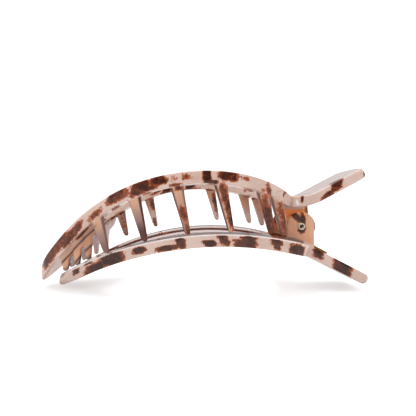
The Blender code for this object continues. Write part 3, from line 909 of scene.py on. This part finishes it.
class Nodes:
    """A short way to build a material's node tree."""

    def __init__(self, name):
        self.material = bpy.data.materials.new(name)
        self.material.use_nodes = True
        self.tree = self.material.node_tree
        self.shader = self.tree.nodes["Principled BSDF"]
        coordinates = self.tree.nodes.new("ShaderNodeTexCoord")
        scale = self.tree.nodes.new("ShaderNodeVectorMath")
        scale.operation = "SCALE"
        scale.inputs["Scale"].default_value = 1 / MM
        self.tree.links.new(coordinates.outputs["Object"], scale.inputs[0])
        self.place = scale.outputs[0]

    def set(self, socket, value):
        if isinstance(value, bpy.types.NodeSocket):
            self.tree.links.new(value, socket)
        else:
            socket.default_value = value

    def noise(self, scale, detail=3.0, roughness=0.55, distortion=0.0, place=None):
        node = self.tree.nodes.new("ShaderNodeTexNoise")
        self.set(node.inputs["Vector"], place or self.place)
        node.inputs["Scale"].default_value = scale
        node.inputs["Detail"].default_value = detail
        node.inputs["Roughness"].default_value = roughness
        node.inputs["Distortion"].default_value = distortion
        return node.outputs["Fac"]

    def stretched(self, factors):
        node = self.tree.nodes.new("ShaderNodeVectorMath")
        node.operation = "MULTIPLY"
        self.set(node.inputs[0], self.place)
        node.inputs[1].default_value = factors
        return node.outputs[0]

    def attribute(self, name):
        node = self.tree.nodes.new("ShaderNodeAttribute")
        node.attribute_name = name
        return node.outputs["Fac"]

    def math(self, operation, a, b=0.0, c=0.0):
        node = self.tree.nodes.new("ShaderNodeMath")
        node.operation = operation
        for socket, value in zip(node.inputs, (a, b, c)):
            self.set(socket, value)
        return node.outputs[0]

    def step(self, value, low, high, to_low=0.0, to_high=1.0):
        node = self.tree.nodes.new("ShaderNodeMapRange")
        node.interpolation_type = "SMOOTHSTEP"
        for socket, given in zip(node.inputs, (value, low, high, to_low, to_high)):
            self.set(socket, given)
        return node.outputs[0]

    def mix(self, share, a, b):
        node = self.tree.nodes.new("ShaderNodeMix")
        node.data_type = "RGBA"
        self.set(node.inputs["Factor"], share)
        colours = [socket for socket in node.inputs if socket.type == "RGBA"]
        self.set(colours[0], a)
        self.set(colours[1], b)
        return [socket for socket in node.outputs if socket.type == "RGBA"][0]

    def bump(self, height, distance, strength=1.0):
        node = self.tree.nodes.new("ShaderNodeBump")
        node.inputs["Strength"].default_value = strength
        node.inputs["Distance"].default_value = distance
        self.set(node.inputs["Height"], height)
        return node.outputs[0]

    def principled(self, **values):
        for name, value in values.items():
            self.set(self.shader.inputs[name.replace("_", " ")], value)
        return self.material


def tortoise(name, browns, deep_brown):
    """Blush acetate with dark, feathered and speckled blotches.

    It has a faint painted glow where light would come through it: amber at the lugs, white where pale or
    painted with highlights.
    Its colour also carries painted shade, and a warm tint that partly stands in for light through the
    plastic in shade.
    """
    n = Nodes(name)
    field = n.attribute("blotch")
    warm = n.attribute("warm")
    dusk = n.attribute("dusk")
    pale = n.attribute("pale")
    swirl = n.noise(0.22, 4.0, 0.6, 0.6)
    ragged = n.noise(0.9, 4.0, 0.65, 0.4)
    fine = n.noise(3.4, 3.0, 0.7)
    streak = n.noise(1.0, 4.0, 0.6, 0.3, n.stretched((0.35, 1.2, 1.6)))
    torn = n.math("MULTIPLY_ADD", n.math("SUBTRACT", ragged, 0.5), 1.05, field)
    torn = n.math("MULTIPLY_ADD", n.math("SUBTRACT", swirl, 0.5), 0.5, torn)
    torn = n.math("MULTIPLY_ADD", n.math("SUBTRACT", fine, 0.5), 0.5, torn)
    fringe = n.step(torn, -0.08, 0.03)
    dark = n.step(torn, 0.0, 0.24)

    cloud = n.step(n.noise(0.12, 3.0, 0.5), 0.35, 0.65)
    base = n.mix(cloud, linear(230, 201, 187), linear(220, 188, 173))
    base = n.mix(n.step(streak, 0.5, 0.75, 0.0, 0.3), base, linear(234, 214, 204))
    peach = n.mix(cloud, linear(232, 184, 152), linear(224, 170, 136))
    amber = n.mix(cloud, linear(238, 146, 76), linear(226, 128, 64))
    # Peach below the plate and amber at the lugs, from the warm tint
    base = n.mix(n.step(warm, 0.0, 0.5), base, peach)
    base = n.mix(n.step(warm, 0.55, 1.0), base, amber)
    # Painted shade and dark lines: mauve, then dark brown where strongest
    base = n.mix(n.step(dusk, 0.0, 0.55), base, linear(168, 132, 122))
    base = n.mix(n.step(dusk, 0.5, 1.0), base, linear(92, 49, 38))
    # White over the pale areas and painted highlights, a little streaky
    streaky_whitening = n.math("MULTIPLY", pale, n.step(streak, 0.3, 0.6, 0.8, 1.0))
    base = n.mix(streaky_whitening, base, linear(238, 230, 232))

    rust = n.mix(n.step(fine, 0.35, 0.7), linear(172, 80, 38), linear(200, 112, 64))
    brown = n.mix(n.step(ragged, 0.36, 0.62), browns[0], browns[1])
    brown = n.mix(n.step(fine, 0.56, 0.74, 0.0, 0.6), brown, linear(172, 92, 52))
    deep = n.math("MULTIPLY", n.step(torn, 0.14, 0.3), n.step(swirl, 0.4, 0.6, 0.1, 0.9))
    brown = n.mix(deep, brown, deep_brown)
    colour = n.mix(fringe, base, rust)
    colour = n.mix(dark, colour, brown)

    glow = n.math("SUBTRACT", 0.32, n.math("MULTIPLY", dark, 0.28))
    lit_colour = n.mix(n.step(warm, 0.55, 0.85), linear(238, 228, 228), linear(255, 142, 63))
    lit = n.math("MAXIMUM", n.step(warm, 0.75, 1.0, 0.0, 0.15), n.math("MULTIPLY", pale, 0.14))
    scuffs = n.noise(1.0, 5.0, 0.7, 0.0, n.stretched((0.25, 9.0, 9.0)))
    roughness = n.step(scuffs, 0.45, 0.8, 0.12, 0.24)
    wave = n.noise(0.16, 2.0, 0.5)
    surface = n.math("MULTIPLY_ADD", fine, 0.01, n.math("MULTIPLY", wave, 0.6))
    return n.principled(
        Base_Color=colour,
        Roughness=roughness,
        IOR=1.49,
        Subsurface_Weight=glow,
        Subsurface_Radius=(1.0, 0.42, 0.25),
        Subsurface_Scale=0.0022,
        Emission_Color=lit_colour,
        Emission_Strength=lit,
        Coat_Weight=0.12,
        Coat_Roughness=0.05,
        Normal=n.bump(surface, 0.0003, 0.5),
    )


def plated_metal():
    """Pale gold plating on the rivet, rubbed brighter and duller in turn."""
    n = Nodes("rivet_plating")
    worn = n.noise(1.6, 4.0, 0.6)
    grain = n.noise(9.0, 3.0, 0.6)
    colour = n.mix(n.step(worn, 0.4, 0.65), linear(246, 238, 218), linear(220, 206, 178))
    return n.principled(
        Base_Color=colour,
        Metallic=0.65,
        Roughness=n.step(grain, 0.3, 0.75, 0.16, 0.34),
        Normal=n.bump(grain, 0.00004, 0.4),
    )


def bore_shade_and_glow():
    """The inside of the rivet: darker than the plating, as painted shade in the hole, and lifted by a
    faint painted glow.
    """
    n = Nodes("rivet_bore")
    mottle = n.noise(4.0, 3.0, 0.6)
    return n.principled(
        Base_Color=n.mix(mottle, linear(112, 96, 84), linear(150, 132, 116)),
        Metallic=0.3,
        Roughness=n.step(mottle, 0.3, 0.7, 0.4, 0.6),
        Emission_Color=linear(140, 118, 104),
        Emission_Strength=0.12,
    )


def brass():
    """Drawn brass wire, with a grain along it and a slight tarnish."""
    n = Nodes("spring_brass_wire")
    tarnish = n.noise(0.5, 4.0, 0.6)
    drawn = n.noise(2.0, 3.0, 0.6, 0.0, n.stretched((0.4, 6.0, 6.0)))
    colour = n.mix(n.step(tarnish, 0.4, 0.68), linear(224, 176, 98), linear(176, 120, 56))
    return n.principled(
        Base_Color=colour,
        Metallic=1.0,
        Roughness=n.step(drawn, 0.3, 0.7, 0.2, 0.36),
        Normal=n.bump(drawn, 0.00005, 0.4),
    )


# -------- metal pieces


def rivet():
    """The hollow pin: a tube whose ends are rolled outwards into rounded rims."""
    shank = EAR_FACES[1] + SIDE_GAP
    middle = (PIN_HEAD_RADIUS + PIN_BORE) / 2
    half = (PIN_HEAD_RADIUS - PIN_BORE) / 2
    rim = []
    for step in range(13):
        angle = math.pi * (1.0 - step / 12)
        rise = PIN_HEAD * (0.35 + 0.65 * math.sin(angle))
        rim.append((middle + half * math.cos(angle), shank + rise))
    end = [(PIN_BORE, shank - 1.0)] + rim + [(PIN_HEAD_RADIUS - 0.04, shank), (PIN_RADIUS, shank)]
    end += [(PIN_RADIUS, shank - 1.0)]
    profile = end + [(radius, -y) for radius, y in reversed(end)]
    bm = bmesh.new()
    rings = []
    for step in range(PIN_SIDES):
        angle = math.tau * step / PIN_SIDES
        ring = [bm.verts.new((r * math.cos(angle), y, r * math.sin(angle))) for r, y in profile]
        rings.append(ring)
    skin_rings(bm, rings, closed_loop=True, caps=False)
    return scene_object("rivet", bm)


def direction(degrees):
    """Unit vector in the side view at this heading above +X."""
    return Vector((math.cos(math.radians(degrees)), 0.0, math.sin(math.radians(degrees))))


def spring_leg(start, leg, profile):
    """A straight leg, a rounded knee, and a foot along the handle's inner face."""
    reach = HANDLE_PLATE / 2 + WIRE_RADIUS + SPRING_GAP
    length = 5.0
    gap = reach + 1.0
    while gap > reach:
        length += 0.05
        knee = start + leg * length
        middle, heading = profile(knee.x)
        gap = abs(knee.z - middle) * math.cos(heading)
    foot = direction(math.degrees(profile(knee.x + FOOT_LENGTH)[1]))
    path = [start + leg * length * share for share in (0.2, 0.4, 0.6, 0.8)]
    before, after = knee - leg * 0.8, knee + foot * 0.8
    for step in range(5):
        share = step / 4
        path.append(before.lerp(knee, share).lerp(knee.lerp(after, share), share))
    return path + [knee + foot * FOOT_LENGTH * share for share in (0.4, 0.6, 0.8, 1.0)]


def spring():
    """The wire: a leg on the lower handle, the coil, and a leg under the upper handle."""
    leave = math.radians(90 + LEG_HEADING)
    sweep = math.tau * (COIL_TURNS + 1) - 2 * leave
    steps = round(COIL_STEPS * sweep / math.tau)
    coil = []
    for step in range(steps + 1):
        angle = -leave - sweep * step / steps
        y = -COIL_HALF_LENGTH + 2 * COIL_HALF_LENGTH * step / steps
        coil.append(Vector((COIL_RADIUS * math.cos(angle), y, COIL_RADIUS * math.sin(angle))))
    lower_leg = spring_leg(coil[0], direction(-LEG_HEADING), LOWER_PROFILE)
    upper_leg = spring_leg(coil[-1], direction(LEG_HEADING), UPPER_PROFILE)
    path = lower_leg[::-1] + coil + upper_leg
    bm = bmesh.new()
    rings = []
    across = Vector((0.0, 1.0, 0.0))
    for index, point in enumerate(path):
        along = (path[min(index + 1, len(path) - 1)] - path[max(index - 1, 0)]).normalized()
        across = (across - along * across.dot(along)).normalized()
        other = along.cross(across)
        radius = WIRE_RADIUS * (0.75 if index in (0, len(path) - 1) else 1.0)
        ring = []
        for side in range(WIRE_SIDES):
            angle = math.tau * side / WIRE_SIDES
            offset = (across * math.cos(angle) + other * math.sin(angle)) * radius
            ring.append(bm.verts.new(point + offset))
        rings.append(ring)
    skin_rings(bm, rings)
    return scene_object("spring_wire", bm)


# -------- the object

rng = random.Random(SEED)
upper = moulded("upper_jaw_skin", upper_shapes(), *UPPER_PLATE)
paint_upper(upper, rng)
settle(upper)
upper.data.materials.append(tortoise(
    "tortoise_acetate_upper",
    (linear(74, 27, 14), linear(142, 68, 36)),
    linear(50, 16, 8),
))
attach(upper, "upper")
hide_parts("upper_jaw")

lower = moulded("lower_jaw_skin", lower_shapes(), *LOWER_PLATE)
paint_lower(lower, rng)
settle(lower)
lower.data.materials.append(tortoise(
    "tortoise_acetate_lower",
    (linear(64, 28, 19), linear(104, 54, 36)),
    linear(46, 23, 18),
))
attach(lower, "lower")
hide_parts("lower_jaw")

pin = rivet()
pin.data.materials.append(plated_metal())
pin.data.materials.append(bore_shade_and_glow())
for face in pin.data.polygons:
    centre = face.center
    if math.hypot(centre.x, centre.z) < PIN_BORE + 0.01:
        face.material_index = 1
pin.data.shade_smooth()
pin.data.set_sharp_from_angle(angle=math.radians(40))
settle(pin)
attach(pin, "lower")
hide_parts("hinge_pin")

wire = spring()
wire.data.shade_smooth()
wire.data.materials.append(brass())
settle(wire)
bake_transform(wire)
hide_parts("torsion_spring")


# -------- studio


def mixed_value(tree, share, a, b):
    """A node socket that is a where share is 0 and b where share is 1."""
    node = tree.nodes.new("ShaderNodeMix")
    node.data_type = "FLOAT"
    tree.links.new(share, node.inputs["Factor"])
    for socket, value in ((node.inputs["A"], a), (node.inputs["B"], b)):
        if isinstance(value, float):
            socket.default_value = value
        else:
            tree.links.new(value, socket)
    return node.outputs["Result"]


def studio_floor():
    """White to the camera, and darker in reflections, so that glossy undersides keep their colour."""
    n = Nodes("studio_floor")
    tint = n.noise(0.01, 2.0, 0.5)
    path = n.tree.nodes.new("ShaderNodeLightPath").outputs
    paper = n.mix(tint, (0.84, 0.89, 0.92, 1.0), (0.82, 0.87, 0.9, 1.0))
    n.principled(
        Base_Color=n.mix(path["Is Glossy Ray"], paper, (0.85, 0.74, 0.7, 1.0)),
        Roughness=0.9,
        Specular_IOR_Level=0.0,
        Emission_Color=(1.0, 1.0, 1.0, 1.0),
        Emission_Strength=mixed_value(n.tree, path["Is Camera Ray"], 0.05, 0.5),
    )
    bm = bmesh.new()
    bmesh.ops.create_grid(bm, x_segments=8, y_segments=8, size=6.0)
    floor = scene_object("studio_floor", bm)
    floor.location.z = -0.0002
    floor.data.materials.append(n.material)


def studio_world():
    """A white tent; what glossy faces reflect is darker, but for a bright patch straight above."""
    world = bpy.data.worlds.new("studio")
    bpy.context.scene.world = world
    world.use_nodes = True
    tree = world.node_tree
    background = tree.nodes["Background"]
    coordinates = tree.nodes.new("ShaderNodeTexCoord")
    split = tree.nodes.new("ShaderNodeSeparateXYZ")
    tree.links.new(coordinates.outputs["Generated"], split.inputs[0])

    def ramp(socket, low, high, to_low, to_high):
        node = tree.nodes.new("ShaderNodeMapRange")
        node.interpolation_type = "SMOOTHSTEP"
        tree.links.new(socket, node.inputs[0])
        for item, value in zip(node.inputs[1:5], (low, high, to_low, to_high)):
            item.default_value = value
        return node.outputs[0]

    def combine(operation, a, b):
        node = tree.nodes.new("ShaderNodeMath")
        node.operation = operation
        tree.links.new(a, node.inputs[0])
        tree.links.new(b, node.inputs[1])
        return node.outputs[0]

    overhead = ramp(split.outputs["Z"], 0.0, 0.9, 0.72, 1.0)
    front = ramp(split.outputs["Y"], -0.95, 0.1, 0.88, 1.05)
    light = combine("MULTIPLY", overhead, front)
    back_wall = ramp(split.outputs["Y"], -0.3, 0.9, 0.2, 0.38)
    patch = ramp(split.outputs["Z"], 0.8, 0.96, 0.0, 1.4)
    reflected = combine("ADD", back_wall, patch)
    path = tree.nodes.new("ShaderNodeLightPath").outputs
    strength = mixed_value(tree, path["Is Glossy Ray"], light, reflected)
    strength = mixed_value(tree, path["Is Camera Ray"], strength, 1.3)
    tree.links.new(strength, background.inputs["Strength"])
    background.inputs["Color"].default_value = (1.0, 1.0, 1.0, 1.0)


def softbox(name, place, target, size, power):
    """A rectangular lamp of this size and wattage at a place, turned to its target."""
    data = bpy.data.lights.new(name, "AREA")
    data.shape = "RECTANGLE"
    data.size, data.size_y = size
    data.energy = power
    made = bpy.data.objects.new(name, data)
    bpy.context.scene.collection.objects.link(made)
    made.location = place
    made.rotation_euler = (Vector(target) - Vector(place)).to_track_quat("-Z", "Y").to_euler()


CAMERA_OFFSET = (-41.9, -128.0, 7.9)  # from the hinge axis
LENS = 28.82
LENS_SHIFT = (0.0601, -0.0096)


def studio_camera():
    """A level camera on the -Y side, a little over the hinge axis."""
    data = bpy.data.cameras.new("camera")
    data.lens = LENS
    data.shift_x, data.shift_y = LENS_SHIFT
    data.clip_start = 0.005
    made = bpy.data.objects.new("camera", data)
    bpy.context.scene.collection.objects.link(made)
    made.location = HINGE + Vector(CAMERA_OFFSET) * MM
    made.rotation_euler = (math.radians(90.0), 0.0, 0.0)
    bpy.context.scene.camera = made


studio_floor()
studio_world()
softbox("overhead_strip", (-0.06, 0.02, 0.42), (0.0, 0.0, 0.02), (0.42, 0.035), 0.5)
studio_camera()
bpy.context.scene.view_settings.view_transform = "Standard"
